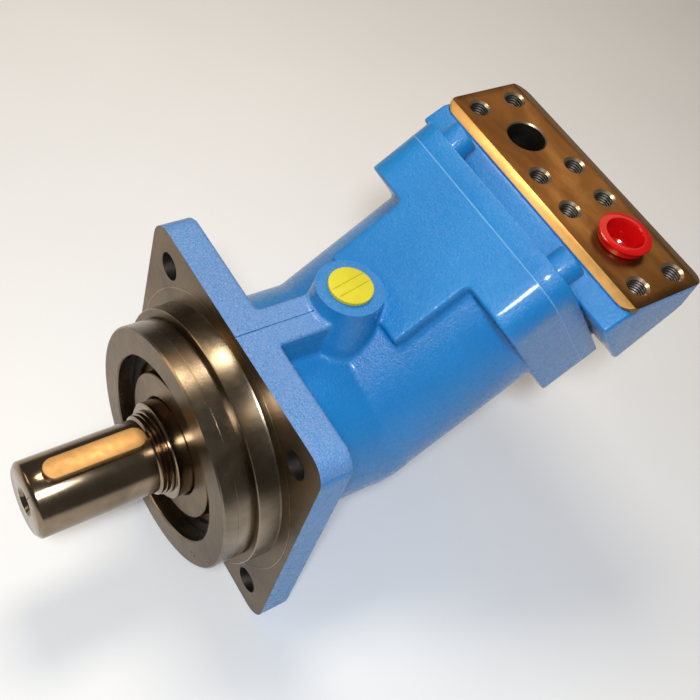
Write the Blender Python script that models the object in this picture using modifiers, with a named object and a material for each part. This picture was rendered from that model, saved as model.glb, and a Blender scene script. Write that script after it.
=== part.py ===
"""Bent-axis axial piston hydraulic motor with a square mounting flange.

Frame: the origin is the centre of the pilot on the mounting flange's front face, +X runs along the
shaft axis into the motor, +Z is square to the port face, and port A is on the +Y side. Below, x is a
height along the shaft axis, s is a height along the barrel axis from the bend's centre, and v is the
direction square to the barrel axis and to Y, on the port side.
"""
import math

import bmesh
import bpy
from mathutils import Matrix, Vector

MM = 0.001

# The bend
BEND_ANGLE = math.radians(40)
BEND_X = 95 * MM
BARREL_DIRECTION = Vector((math.cos(BEND_ANGLE), 0, math.sin(BEND_ANGLE)))
SIDE_DIRECTION = Vector((-math.sin(BEND_ANGLE), 0, math.cos(BEND_ANGLE)))

# Fits
GAP = 0.3 * MM

# Mounting flange and nose
FLANGE_HALF = 97.5 * MM
FLANGE_CORNER = 14.5 * MM
FLANGE_THICKNESS = 21.5 * MM
FLANGE_HOLE_PITCH = 75.3 * MM
FLANGE_HOLE_RADIUS = 9 * MM
PILOT_RADIUS = 84 * MM
PILOT_FRONT = -14.6 * MM
NOSE_RADIUS = 78.5 * MM
NOSE_FRONT = -34.4 * MM

# Housing body
BODY_RADIUS = 73.5 * MM
ELBOW_RADIUS = 74.2 * MM
CAVITY_RADIUS = 60 * MM
ELBOW_CAVITY_RADIUS = 60.8 * MM
NOSE_BORE_RADIUS = 60.5 * MM
NOSE_FIT_RADIUS = 60 * MM
WALL_MIDDLE = 66.5 * MM
BARREL_END = 141 * MM
REAR_FLANGE_START = 109 * MM
REAR_FLANGE_HALF = 76 * MM
REAR_FLANGE_CORNER = 22 * MM
PAD_HALF_WIDTH = 36 * MM
PAD_START = 55 * MM
PAD_TOP = 75.7 * MM
RIB_HALF_WIDTH = 13.5 * MM
RIB_TOP = 97.2 * MM
DRAIN_X = 75 * MM
DRAIN_BOSS_TOP = 109 * MM
DRAIN_BOSS_BOTTOM = -86 * MM
DRAIN_HOLE_RADIUS = 10.6 * MM

# Seal parts in the nose
RING_GROOVE = (-22.6 * MM, -19.7 * MM)
SNAP_RING = (-22.4 * MM, -20 * MM)
SEAL_COVER_FRONT = -28.4 * MM
SEAL_COVER_BACK = -9 * MM

# Port plate
PLATE_FRONT = BARREL_END + GAP
PLATE_BACK = 154.5 * MM
SPIGOT_FRONT = 132 * MM
SPIGOT_RADIUS = 59.5 * MM
PORT_FACE_Z = 140.5 * MM
BLOCK_HALF_WIDTH = 96.5 * MM
BLOCK_CORNER = 11 * MM
PORT_X = 241.4 * MM
PORT_Y = 49 * MM
PORT_RADIUS = 13.5 * MM
PORT_FLOOR_Z = 110 * MM
PORT_BOLT_SPACING = (31.8 * MM, 66.7 * MM)
PORT_BOLT_RADIUS = 6.2 * MM
PORT_BOLT_DEPTH = 26 * MM
SCREW_PITCH = 55 * MM
SCREW_RADIUS = 8 * MM
SCREW_HEAD_RADIUS = 11 * MM
SCREW_HEAD_HEIGHT = 13 * MM
SCREW_TIP = 116 * MM

# Shaft
SHAFT_RADIUS = 23.5 * MM
SHAFT_FRONT = -119.9 * MM
SEAL_LAND_RADIUS = 31 * MM
BEARING_SEAT_RADIUS = 32.5 * MM
DRIVE_FLANGE_RADIUS = 58.5 * MM
DRIVE_FLANGE_BACK = 93 * MM
KEY_SPAN = (-109.5 * MM, -47.4 * MM)
KEY_HALF_WIDTH = 7 * MM
KEY_BOTTOM = 18.8 * MM
KEY_TOP = 27 * MM

# Rotating group
PISTON_COUNT = 7
SEAT_CIRCLE = 43.03 * MM
BORE_CIRCLE = 38 * MM
PISTON_LENGTH = 76 * MM
PISTON_TILT = math.asin((SEAT_CIRCLE - BORE_CIRCLE) / PISTON_LENGTH)
PISTON_BALL_RADIUS = 9 * MM
SEAT_CAVITY_RADIUS = 9.7 * MM
SEAT_RADIUS = 12.6 * MM
SEAT_TOP = 2 * MM
SEAT_BOTTOM = -10.7 * MM
BORE_RADIUS = 11 * MM
BLOCK_FRONT = 42 * MM
BLOCK_BACK = 120 * MM
BLOCK_RADIUS = 53.5 * MM
CENTRE_BALL_RADIUS = 11 * MM
SPRING_SPAN = (48 * MM, 79.9 * MM)
SPRING_RADIUS = 12.4 * MM
SPRING_WIRE = 1.8 * MM
SPRING_TURNS = 4

# Facets round a circle
FINE = 32
RACE = 28
MEDIUM = 18
SMALL = 12
COARSE = 10

LOCAL_TO_Y_SECTION = Matrix.Rotation(math.radians(90), 4, 'X')


def clear_scene():
    for item in list(bpy.data.objects):
        bpy.data.objects.remove(item, do_unlink=True)


def new_collection(name):
    group = bpy.data.collections.new(name)
    bpy.context.scene.collection.children.link(group)
    return group


def new_material(name, colour, metallic, roughness):
    material = bpy.data.materials.new(name)
    material.use_nodes = True
    shader = material.node_tree.nodes['Principled BSDF']
    shader.inputs['Base Color'].default_value = (*colour, 1)
    shader.inputs['Metallic'].default_value = metallic
    shader.inputs['Roughness'].default_value = roughness
    return material


clear_scene()
PARTS = new_collection('hydraulic_motor')
TOOLS = new_collection('cutters_and_joined_shapes')
PAINT = new_material('blue_paint', (0.01, 0.2, 0.55), 0.0, 0.4)
STEEL = new_material('steel', (0.4, 0.39, 0.37), 1.0, 0.3)
DARK_STEEL = new_material('dark_steel', (0.16, 0.15, 0.14), 1.0, 0.35)
BLACK_STEEL = new_material('blackened_steel', (0.03, 0.03, 0.032), 0.8, 0.45)
BRONZE = new_material('bronze', (0.5, 0.3, 0.1), 1.0, 0.35)
RUBBER = new_material('black_rubber', (0.015, 0.015, 0.015), 0.0, 0.6)
RED_PLASTIC = new_material('red_plastic', (0.7, 0.01, 0.02), 0.0, 0.3)
YELLOW_PLASTIC = new_material('yellow_plastic', (0.9, 0.75, 0.02), 0.0, 0.4)


def new_axis(name, place):
    """An empty whose Z axis is an axis of the motor."""
    empty = bpy.data.objects.new(name, None)
    PARTS.objects.link(empty)
    empty.matrix_world = place
    return empty


SHAFT_PLACE = Matrix.Rotation(math.radians(90), 4, 'Y')
BARREL_PLACE = Matrix.Translation((BEND_X, 0, 0)) @ Matrix.Rotation(math.radians(90) - BEND_ANGLE, 4, 'Y')
SHAFT_AXIS = new_axis('shaft_axis', SHAFT_PLACE)
BARREL_AXIS = new_axis('barrel_axis', BARREL_PLACE)
MOTOR_ORIGIN = new_axis('motor_origin', Matrix())


def place_object(name, mesh, finish, parent, place=None):
    """Put a mesh in the scene; with no finish it is a cutter or a shape to join."""
    item = bpy.data.objects.new(name, mesh)
    if finish is None:
        TOOLS.objects.link(item)
        item.hide_render = True
        item.display_type = 'WIRE'
    else:
        PARTS.objects.link(item)
        mesh.materials.clear()
        mesh.materials.append(finish)
    item.parent = parent
    item.matrix_local = place or Matrix()
    return item


def turned(name, profile, steps, parent, finish=None, place=None):
    """Turn (radius, height) points about local Z; the outer side runs from the top down."""
    mesh = bpy.data.meshes.new(name)
    points = [(radius, 0, height) for radius, height in profile]
    edges = [(index, index + 1) for index in range(len(points) - 1)]
    if profile[0][0] > 0:
        edges.append((len(points) - 1, 0))
    mesh.from_pydata(points, edges, [])
    item = place_object(name, mesh, finish, parent, place)
    screw = item.modifiers.new('Turn', 'SCREW')
    screw.axis = 'Z'
    screw.angle = 2 * math.pi
    screw.steps = steps
    screw.render_steps = steps
    screw.use_merge_vertices = True
    screw.merge_threshold = 0.01 * MM
    screw.use_smooth_shade = True
    return item


def finish_mesh(shape, name, smooth_angle=math.radians(35)):
    mesh = bpy.data.meshes.new(name)
    shape.to_mesh(mesh)
    shape.free()
    mesh.shade_smooth()
    mesh.set_sharp_from_angle(angle=smooth_angle)
    return mesh


def cylinders(name, radius, span, centres, parent, segments, finish=None):
    """Round bars along local Z between two heights, one at each (x, y) centre."""
    shape = bmesh.new()
    low, high = span
    for x, y in centres:
        bmesh.ops.create_cone(shape, cap_ends=True, segments=segments, radius1=radius, radius2=radius,
                              depth=high - low, matrix=Matrix.Translation((x, y, (low + high) / 2)))
    return place_object(name, finish_mesh(shape, name), finish, parent)


def box(name, low, high, parent, corner=0.0, finish=None):
    """A box between two corners, with its edges along local Z rounded."""
    shape = bmesh.new()
    size = Vector(high) - Vector(low)
    middle = (Vector(high) + Vector(low)) / 2
    bmesh.ops.create_cube(shape, size=1, matrix=Matrix.Translation(middle) @ Matrix.Diagonal((*size, 1)))
    if corner:
        upright = [edge for edge in shape.edges
                   if abs(edge.verts[0].co.z - edge.verts[1].co.z) > 0.9 * size.z]
        bmesh.ops.bevel(shape, geom=upright, offset=corner, segments=3, profile=0.5, affect='EDGES')
    return place_object(name, finish_mesh(shape, name), finish, parent)


def sphere(name, radius, parent, place, segments, finish=None):
    shape = bmesh.new()
    bmesh.ops.create_uvsphere(shape, u_segments=segments, v_segments=segments // 2, radius=radius)
    return place_object(name, finish_mesh(shape, name), finish, parent, place)


def outline_solid(name, outlines, span, parent, finish=None, place=None, end_scale=1.0):
    """A flat outline of one or more closed loops, made solid along local Z; end_scale tapers it."""
    low, high = span
    curve = bpy.data.curves.new(name, 'CURVE')
    curve.dimensions = '2D'
    curve.fill_mode = 'BOTH'
    curve.extrude = (high - low) / 2
    for outline in outlines:
        spline = curve.splines.new('POLY')
        spline.points.add(len(outline) - 1)
        spline.use_cyclic_u = True
        for point, (x, y) in zip(spline.points, outline):
            point.co = (x, y, 0, 1)
    guide = bpy.data.objects.new(name, curve)
    TOOLS.objects.link(guide)
    evaluated = guide.evaluated_get(bpy.context.evaluated_depsgraph_get())
    mesh = bpy.data.meshes.new_from_object(evaluated)
    bpy.data.objects.remove(guide, do_unlink=True)
    shape = bmesh.new()
    shape.from_mesh(mesh)
    bmesh.ops.remove_doubles(shape, verts=shape.verts, dist=0.01 * MM)
    for vertex in shape.verts:
        scale = end_scale if vertex.co.z > 0 else 1.0
        vertex.co.x *= scale
        vertex.co.y *= scale
        vertex.co.z += (low + high) / 2
    bmesh.ops.recalc_face_normals(shape, faces=shape.faces)
    return place_object(name, finish_mesh(shape, name), finish, parent, place)


def combine(target, tool, operation):
    modifier = target.modifiers.new(f'{operation.title()} {tool.name}', 'BOOLEAN')
    modifier.operation = operation
    modifier.solver = 'EXACT'
    modifier.object = tool


def join(target, *tools):
    for tool in tools:
        combine(target, tool, 'UNION')


def cut(target, *tools):
    for tool in tools:
        combine(target, tool, 'DIFFERENCE')


def arc(radius, start, end, steps, centre=(0.0, 0.0)):
    """Points on an arc about a centre, both ends included, with angles in degrees."""
    points = []
    for step in range(steps + 1):
        angle = math.radians(start + (end - start) * step / steps)
        points.append((centre[0] + radius * math.cos(angle), centre[1] + radius * math.sin(angle)))
    return points


def four_corners(pitch):
    return [(x, y) for x in (-pitch, pitch) for y in (-pitch, pitch)]


def piston_angle(index):
    return 2 * math.pi * index / PISTON_COUNT


def circle_centres(radius):
    """Piston places about a local Z axis whose local X points away from the port side."""
    places = []
    for index in range(PISTON_COUNT):
        angle = piston_angle(index)
        places.append((-radius * math.cos(angle), -radius * math.sin(angle)))
    return places


def ring_profile(inner, outer, low, high):
    return [(outer, high), (outer, low), (inner, low), (inner, high)]


def build_housing():
    """The casting: nose, mounting flange, bent body and rear flange, then its bores."""
    nose = [(0, BEND_X), (BODY_RADIUS, BEND_X), (BODY_RADIUS, 10 * MM), (PILOT_RADIUS, 10 * MM),
            (PILOT_RADIUS, PILOT_FRONT), (NOSE_RADIUS - 1.2 * MM, PILOT_FRONT),
            (NOSE_RADIUS - 1.2 * MM, PILOT_FRONT - 1.6 * MM), (NOSE_RADIUS, PILOT_FRONT - 1.6 * MM),
            (NOSE_RADIUS, NOSE_FRONT + 1 * MM), (NOSE_RADIUS - 1 * MM, NOSE_FRONT), (0, NOSE_FRONT)]
    housing = turned('motor_housing', nose, FINE, SHAFT_AXIS, PAINT)
    plate = box('flange_plate', (-FLANGE_HALF, -FLANGE_HALF, 0), (FLANGE_HALF, FLANGE_HALF, FLANGE_THICKNESS),
                SHAFT_AXIS, FLANGE_CORNER)
    elbow = sphere('elbow_ball', ELBOW_RADIUS, SHAFT_AXIS,
                   Matrix.Translation((0, 0, BEND_X)) @ LOCAL_TO_Y_SECTION, RACE)
    barrel = cylinders('barrel_body', BODY_RADIUS, (0, BARREL_END - 10 * MM), [(0, 0)], BARREL_AXIS, FINE)
    rear = box('rear_flange', (-REAR_FLANGE_HALF, -REAR_FLANGE_HALF, REAR_FLANGE_START),
               (REAR_FLANGE_HALF, REAR_FLANGE_HALF, BARREL_END), BARREL_AXIS, REAR_FLANGE_CORNER)
    pad = box('barrel_pad', (-PAD_TOP, -PAD_HALF_WIDTH, PAD_START),
              (-WALL_MIDDLE, PAD_HALF_WIDTH, REAR_FLANGE_START + 10 * MM), BARREL_AXIS)
    rib = box('top_rib', (10 * MM, -RIB_HALF_WIDTH, WALL_MIDDLE), (DRAIN_X, RIB_HALF_WIDTH, RIB_TOP),
              MOTOR_ORIGIN)
    upper = [(0, DRAIN_BOSS_TOP), (19.5 * MM, DRAIN_BOSS_TOP), (21.5 * MM, DRAIN_BOSS_TOP - 3 * MM),
             (24 * MM, 76 * MM), (24 * MM, 50 * MM), (0, 50 * MM)]
    lower = [(0, -50 * MM), (22 * MM, -50 * MM), (20 * MM, DRAIN_BOSS_BOTTOM), (0, DRAIN_BOSS_BOTTOM)]
    boss_place = Matrix.Translation((DRAIN_X, 0, 0))
    upper_boss = turned('upper_drain_boss', upper, MEDIUM, MOTOR_ORIGIN, place=boss_place)
    lower_boss = turned('lower_drain_boss', lower, MEDIUM, MOTOR_ORIGIN, place=boss_place)
    join(housing, plate, elbow, barrel, rear, pad, rib, upper_boss, lower_boss)
    bore = [(0, BEND_X), (CAVITY_RADIUS, BEND_X), (CAVITY_RADIUS, 44 * MM), (57 * MM, 44 * MM),
            (57 * MM, 38.5 * MM), (NOSE_BORE_RADIUS, 38.5 * MM), (NOSE_BORE_RADIUS, RING_GROOVE[1]),
            (63.5 * MM, RING_GROOVE[1]), (63.5 * MM, RING_GROOVE[0]), (NOSE_BORE_RADIUS, RING_GROOVE[0]),
            (NOSE_BORE_RADIUS, NOSE_FRONT - 2 * MM), (0, NOSE_FRONT - 2 * MM)]
    main_bore = turned('main_bore', bore, FINE, SHAFT_AXIS)
    elbow_bore = sphere('elbow_bore', ELBOW_CAVITY_RADIUS, SHAFT_AXIS,
                        Matrix.Translation((0, 0, BEND_X)) @ LOCAL_TO_Y_SECTION, RACE)
    barrel_bore = cylinders('barrel_bore', CAVITY_RADIUS, (0, BARREL_END + 1 * MM), [(0, 0)],
                            BARREL_AXIS, FINE)
    drains = cylinders('drain_holes', DRAIN_HOLE_RADIUS, (DRAIN_BOSS_BOTTOM - 1 * MM, DRAIN_BOSS_TOP + 1 * MM),
                       [(DRAIN_X, 0)], MOTOR_ORIGIN, SMALL)
    flange_holes = cylinders('flange_holes', FLANGE_HOLE_RADIUS, (-1 * MM, FLANGE_THICKNESS + 1 * MM),
                             four_corners(FLANGE_HOLE_PITCH), SHAFT_AXIS, SMALL)
    screw_holes = cylinders('screw_holes', SCREW_RADIUS + 2 * GAP, (SCREW_TIP - 4 * MM, BARREL_END + 1 * MM),
                            four_corners(SCREW_PITCH), BARREL_AXIS, SMALL)
    cut(housing, main_bore, elbow_bore, barrel_bore, drains, flange_holes, screw_holes)


def build_port_plate():
    """Square flange with a spigot, a hub and the long block that carries both ports."""
    spigot = [(0, PLATE_BACK), (SPIGOT_RADIUS, PLATE_BACK), (SPIGOT_RADIUS, 138.6 * MM),
              (56 * MM, 138.6 * MM), (56 * MM, 134.8 * MM), (SPIGOT_RADIUS, 134.8 * MM),
              (SPIGOT_RADIUS, SPIGOT_FRONT), (0, SPIGOT_FRONT)]
    plate = turned('port_plate', spigot, FINE, BARREL_AXIS, PAINT)
    square = box('plate_flange', (-REAR_FLANGE_HALF, -REAR_FLANGE_HALF, PLATE_FRONT),
                 (REAR_FLANGE_HALF, REAR_FLANGE_HALF, PLATE_BACK), BARREL_AXIS, REAR_FLANGE_CORNER)
    hub = box('plate_hub', (-31 * MM, -70 * MM, PLATE_BACK - 5 * MM), (26 * MM, 70 * MM, 175 * MM), BARREL_AXIS)
    section = [(191.6 * MM, 127 * MM), (206 * MM, 136.5 * MM), (276.8 * MM, 136.5 * MM), (276.8 * MM, 131 * MM),
               (265.5 * MM, 112.5 * MM), (233.5 * MM, 78.5 * MM)]
    block = outline_solid('port_block', [section], (-BLOCK_HALF_WIDTH + 0.2 * MM, BLOCK_HALF_WIDTH - 0.2 * MM),
                          MOTOR_ORIGIN, place=LOCAL_TO_Y_SECTION)
    block_ends = box('block_ends', (150 * MM, -BLOCK_HALF_WIDTH, 60 * MM),
                     (276.8 * MM, BLOCK_HALF_WIDTH, 150 * MM), MOTOR_ORIGIN, BLOCK_CORNER)
    combine(block, block_ends, 'INTERSECT')
    face_section = [(205 * MM, 132 * MM), (205 * MM, 137.5 * MM), (211 * MM, PORT_FACE_Z),
                    (268.5 * MM, PORT_FACE_Z), (277 * MM, 137.5 * MM), (277 * MM, 132 * MM)]
    slab = outline_solid('port_face_slab', [face_section], (-BLOCK_HALF_WIDTH, BLOCK_HALF_WIDTH), MOTOR_ORIGIN,
                         place=LOCAL_TO_Y_SECTION)
    slab_ends = box('slab_ends', (204 * MM, -BLOCK_HALF_WIDTH - 1 * MM, 60 * MM),
                    (277.5 * MM, BLOCK_HALF_WIDTH + 1 * MM, 150 * MM), MOTOR_ORIGIN, BLOCK_CORNER + 1 * MM)
    combine(slab, slab_ends, 'INTERSECT')
    join(plate, square, hub, block, slab)
    ports = cylinders('port_bores', PORT_RADIUS, (PORT_FLOOR_Z, PORT_FACE_Z + 1 * MM),
                      [(PORT_X, -PORT_Y), (PORT_X, PORT_Y)], MOTOR_ORIGIN, MEDIUM)
    passages = cylinders('flow_passages', 11 * MM, (SPIGOT_FRONT - 2 * MM, 182 * MM),
                         [(4 * MM, -BORE_CIRCLE), (4 * MM, BORE_CIRCLE)], BARREL_AXIS, SMALL)
    bolt_places = [(PORT_X + x * PORT_BOLT_SPACING[0] / 2, y * PORT_Y + z * PORT_BOLT_SPACING[1] / 2)
                   for x in (-1, 1) for y in (-1, 1) for z in (-1, 1)]
    bolt_holes = cylinders('port_bolt_holes', PORT_BOLT_RADIUS,
                           (PORT_FACE_Z - PORT_BOLT_DEPTH, PORT_FACE_Z + 1 * MM),
                           bolt_places, MOTOR_ORIGIN, SMALL)
    screw_holes = cylinders('plate_screw_holes', SCREW_RADIUS + 2 * GAP, (PLATE_FRONT - 1 * MM, PLATE_BACK + 1 * MM),
                            four_corners(SCREW_PITCH), BARREL_AXIS, SMALL)
    dowel_hole = cylinders('plate_dowel_hole', 2.8 * MM, (SPIGOT_FRONT - 1 * MM, 137 * MM),
                           [(44 * MM, 0)], BARREL_AXIS, COARSE)
    cut(plate, ports, passages, bolt_holes, screw_holes, dowel_hole)


def build_screws():
    head_bottom = PLATE_BACK + GAP
    head_top = head_bottom + SCREW_HEAD_HEIGHT
    profile = [(0, head_top), (SCREW_HEAD_RADIUS - 1 * MM, head_top), (SCREW_HEAD_RADIUS, head_top - 1 * MM),
               (SCREW_HEAD_RADIUS, head_bottom), (SCREW_RADIUS, head_bottom), (SCREW_RADIUS, SCREW_TIP + 1 * MM),
               (SCREW_RADIUS - 1 * MM, SCREW_TIP), (0, SCREW_TIP)]
    sockets = cylinders('screw_sockets', 8 * MM, (head_top - 8 * MM, head_top + 1 * MM),
                        four_corners(SCREW_PITCH), BARREL_AXIS, 6)
    for number, (x, y) in enumerate(four_corners(SCREW_PITCH), start=1):
        screw = turned(f'port_plate_screw_{number}', profile, SMALL, BARREL_AXIS, PAINT,
                       Matrix.Translation((x, y, 0)))
        cut(screw, sockets)


def build_shaft():
    """The keyed shaft and its drive flange, with sockets for the ball seats and the centre pin."""
    profile = [(0, DRIVE_FLANGE_BACK), (DRIVE_FLANGE_RADIUS, DRIVE_FLANGE_BACK),
               (DRIVE_FLANGE_RADIUS, 58 * MM), (50 * MM, 50 * MM), (38 * MM, 50 * MM), (38 * MM, 38.5 * MM),
               (BEARING_SEAT_RADIUS, 38.5 * MM), (BEARING_SEAT_RADIUS, SEAL_COVER_BACK),
               (SEAL_LAND_RADIUS, SEAL_COVER_BACK), (SEAL_LAND_RADIUS, -38 * MM), (25.5 * MM, -38 * MM),
               (25.5 * MM, -46 * MM), (SHAFT_RADIUS, -46 * MM), (SHAFT_RADIUS, SHAFT_FRONT + 2.5 * MM),
               (SHAFT_RADIUS - 2.5 * MM, SHAFT_FRONT), (0, SHAFT_FRONT)]
    shaft = turned('drive_shaft', profile, RACE, SHAFT_AXIS, STEEL)
    centre_hole = cylinders('shaft_centre_hole', 7 * MM, (SHAFT_FRONT - 1 * MM, SHAFT_FRONT + 30 * MM),
                            [(0, 0)], SHAFT_AXIS, SMALL)
    keyway_outline = stadium(KEY_SPAN[0] - GAP, KEY_SPAN[1] + GAP, KEY_HALF_WIDTH + GAP)
    keyway = outline_solid('keyway', [keyway_outline], (KEY_BOTTOM - GAP, KEY_TOP + 2 * MM), MOTOR_ORIGIN)
    pockets = cylinders('seat_pockets', SEAT_RADIUS + GAP, (BEND_X + SEAT_BOTTOM - GAP, BEND_X),
                        circle_centres(SEAT_CIRCLE), SHAFT_AXIS, MEDIUM)
    socket = sphere('centre_ball_socket', CENTRE_BALL_RADIUS + 0.9 * MM, SHAFT_AXIS,
                    Matrix.Translation((0, 0, BEND_X)), SMALL)
    cut(shaft, centre_hole, keyway, pockets, socket)


def stadium(start, end, half_width):
    """A slot's outline along X with round ends."""
    head = arc(half_width, -90, 90, 6, (end - half_width, 0))
    tail = arc(half_width, 90, 270, 6, (start + half_width, 0))
    return head + tail


def build_key():
    outline_solid('shaft_key', [stadium(*KEY_SPAN, KEY_HALF_WIDTH)], (KEY_BOTTOM, KEY_TOP), MOTOR_ORIGIN, STEEL)


def roller_outline(base, bump, count):
    """A closed outline that swells at each roller."""
    points = []
    for roller in range(count):
        for part, lift in ((0.0, 0.0), (0.3, bump), (0.5, bump * 1.15), (0.7, bump)):
            angle = 2 * math.pi * (roller + part) / count
            points.append(((base + lift) * math.cos(angle), (base + lift) * math.sin(angle)))
    return points


def build_bearing(prefix, span, wide_end_first):
    """Inner race, rollers in their cage, and outer race of one tapered roller bearing."""
    low, high = span
    wide, narrow = (low, high) if wide_end_first else (high, low)
    inner_radius = {wide: 40.9 * MM, narrow: 38.4 * MM}
    outer_radius = {wide: 52.1 * MM, narrow: 49.0 * MM}
    inner = [(inner_radius[high], high), (inner_radius[low], low), (32.8 * MM, low), (32.8 * MM, high)]
    outer = [(NOSE_FIT_RADIUS, high), (NOSE_FIT_RADIUS, low), (outer_radius[low], low),
             (outer_radius[high], high)]
    turned(f'{prefix}_bearing_inner_race', inner, RACE, SHAFT_AXIS, DARK_STEEL)
    turned(f'{prefix}_bearing_outer_race', outer, RACE, SHAFT_AXIS, DARK_STEEL)
    taper = 0.94
    base = 1.0 if wide_end_first else taper
    outlines = [[(x * base, y * base) for x, y in roller_outline(49.4 * MM, 1.7 * MM, 14)],
                [(x * base, y * base) for x, y in roller_outline(43.6 * MM, -1.8 * MM, 14)]]
    outline_solid(f'{prefix}_bearing_rollers', outlines, (low + 1 * MM, high - 1 * MM), SHAFT_AXIS, STEEL,
                  end_scale=taper if wide_end_first else 1 / taper)


def build_seal_group():
    """Seal cover, lip seal, snap ring and O-ring in the nose."""
    cover = [(NOSE_FIT_RADIUS, SEAL_COVER_BACK), (NOSE_FIT_RADIUS, -12.6 * MM), (56.8 * MM, -12.6 * MM),
             (56.8 * MM, -16.2 * MM), (NOSE_FIT_RADIUS, -16.2 * MM), (NOSE_FIT_RADIUS, -19.5 * MM),
             (47.4 * MM, -19.5 * MM),
             (47.4 * MM, SEAL_COVER_FRONT), (31.8 * MM, SEAL_COVER_FRONT), (31.8 * MM, -24 * MM),
             (42 * MM, -24 * MM), (42 * MM, SEAL_COVER_BACK)]
    turned('seal_cover', cover, RACE, SHAFT_AXIS, DARK_STEEL)
    seal = [(41.7 * MM, -13 * MM), (41.7 * MM, -23.7 * MM), (31.5 * MM, -23.7 * MM), (31.5 * MM, -21 * MM),
            (38 * MM, -20 * MM), (38 * MM, -13 * MM)]
    turned('shaft_seal', seal, RACE, SHAFT_AXIS, RUBBER)
    gap_angle = 8
    ring = arc(63 * MM, 180 + gap_angle, 540 - gap_angle, 28) + arc(54 * MM, 540 - gap_angle, 180 + gap_angle, 28)
    outline_solid('snap_ring', [ring], SNAP_RING, SHAFT_AXIS, BLACK_STEEL)
    o_ring('seal_cover_o_ring', 58.5 * MM, -14.4 * MM, SHAFT_AXIS)
    o_ring('port_plate_o_ring', 57.8 * MM, 136.7 * MM, BARREL_AXIS)


def o_ring(name, radius, height, parent):
    section = [(radius + x, height + y) for x, y in arc(1.4 * MM, 90, -198, 4)]
    turned(name, section, RACE, parent, RUBBER)


def build_block():
    """Cylinder block with its piston bores, feed holes and centre bore."""
    profile = [(0, BLOCK_BACK), (BLOCK_RADIUS, BLOCK_BACK), (BLOCK_RADIUS, BLOCK_FRONT), (16 * MM, BLOCK_FRONT),
               (16 * MM, 82 * MM), (9.6 * MM, 82 * MM), (9.6 * MM, 112 * MM), (0, 112 * MM)]
    block = turned('cylinder_block', profile, RACE, BARREL_AXIS, DARK_STEEL)
    bores = cylinders('piston_bores', BORE_RADIUS, (BLOCK_FRONT - 1 * MM, 109 * MM),
                      circle_centres(BORE_CIRCLE), BARREL_AXIS, MEDIUM)
    feeds = cylinders('feed_holes', 6.5 * MM, (108 * MM, BLOCK_BACK + 1 * MM),
                      circle_centres(BORE_CIRCLE), BARREL_AXIS, COARSE)
    cut(block, bores, feeds)


def build_valve_plate():
    """Fixed distributor disc with one kidney port on each side, and its dowel."""
    disc = [(0, SPIGOT_FRONT - GAP), (50 * MM, SPIGOT_FRONT - GAP), (50 * MM, BLOCK_BACK + GAP),
            (0, BLOCK_BACK + GAP)]
    plate = turned('valve_plate', disc, RACE, BARREL_AXIS, BRONZE)
    half_width = 6.5 * MM
    kidneys = []
    for middle in (90, 270):
        outer = arc(BORE_CIRCLE + half_width, middle - 62, middle + 62, 10)
        inner = arc(BORE_CIRCLE - half_width, middle + 62, middle - 62, 10)
        kidneys.append(outline_solid(f'kidney_{middle}', [outer + inner],
                                     (BLOCK_BACK - 1 * MM, SPIGOT_FRONT + 1 * MM), BARREL_AXIS))
    dowel_hole = cylinders('valve_dowel_hole', 2.8 * MM, (126 * MM, SPIGOT_FRONT + 1 * MM), [(44 * MM, 0)],
                           BARREL_AXIS, COARSE)
    cut(plate, *kidneys, dowel_hole)
    cylinders('valve_plate_dowel', 2.5 * MM, (126.3 * MM, 136.7 * MM), [(44 * MM, 0)], BARREL_AXIS, COARSE, STEEL)


def build_centre_pin():
    """Pin that holds the block on its axis: ball in the shaft, rod in the block, spring between."""
    neck = 6.5 * MM
    neck_angle = 90 - math.degrees(math.asin(neck / CENTRE_BALL_RADIUS))
    ball = arc(CENTRE_BALL_RADIUS, neck_angle, -90, 7)
    ball[-1] = (0, -CENTRE_BALL_RADIUS)
    profile = [(0, 108 * MM), (9 * MM, 108 * MM), (9 * MM, 45.7 * MM), (14.5 * MM, 45.7 * MM),
               (14.5 * MM, 41 * MM), (neck, 34 * MM)] + ball
    turned('centre_pin', profile, SMALL, BARREL_AXIS, STEEL)
    curve = bpy.data.curves.new('centre_spring', 'CURVE')
    curve.dimensions = '3D'
    curve.bevel_depth = SPRING_WIRE
    curve.bevel_resolution = 2
    curve.use_fill_caps = True
    points_per_turn = 10
    count = SPRING_TURNS * points_per_turn + 1
    spline = curve.splines.new('POLY')
    spline.points.add(count - 1)
    for index, point in enumerate(spline.points):
        angle = 2 * math.pi * index / points_per_turn
        height = SPRING_SPAN[0] + (SPRING_SPAN[1] - SPRING_SPAN[0]) * index / (count - 1)
        point.co = (SPRING_RADIUS * math.cos(angle), SPRING_RADIUS * math.sin(angle), height, 1)
    curve.materials.append(STEEL)
    spring = bpy.data.objects.new('centre_spring', curve)
    PARTS.objects.link(spring)
    spring.parent = BARREL_AXIS


def piston_place(index):
    """The matrix whose origin is a piston's ball and whose Z axis runs along the piston."""
    angle = piston_angle(index)
    ball = Vector((BEND_X, -SEAT_CIRCLE * math.sin(angle), SEAT_CIRCLE * math.cos(angle)))
    lean = SIDE_DIRECTION * math.cos(angle) + Vector((0, math.sin(angle), 0))
    direction = BARREL_DIRECTION * math.cos(PISTON_TILT) + lean * math.sin(PISTON_TILT)
    across = Vector((0, 1, 0)).cross(direction).normalized()
    sideways = direction.cross(across)
    turn = Matrix((across, sideways, direction)).transposed().to_4x4()
    return Matrix.Translation(ball) @ turn


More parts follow.
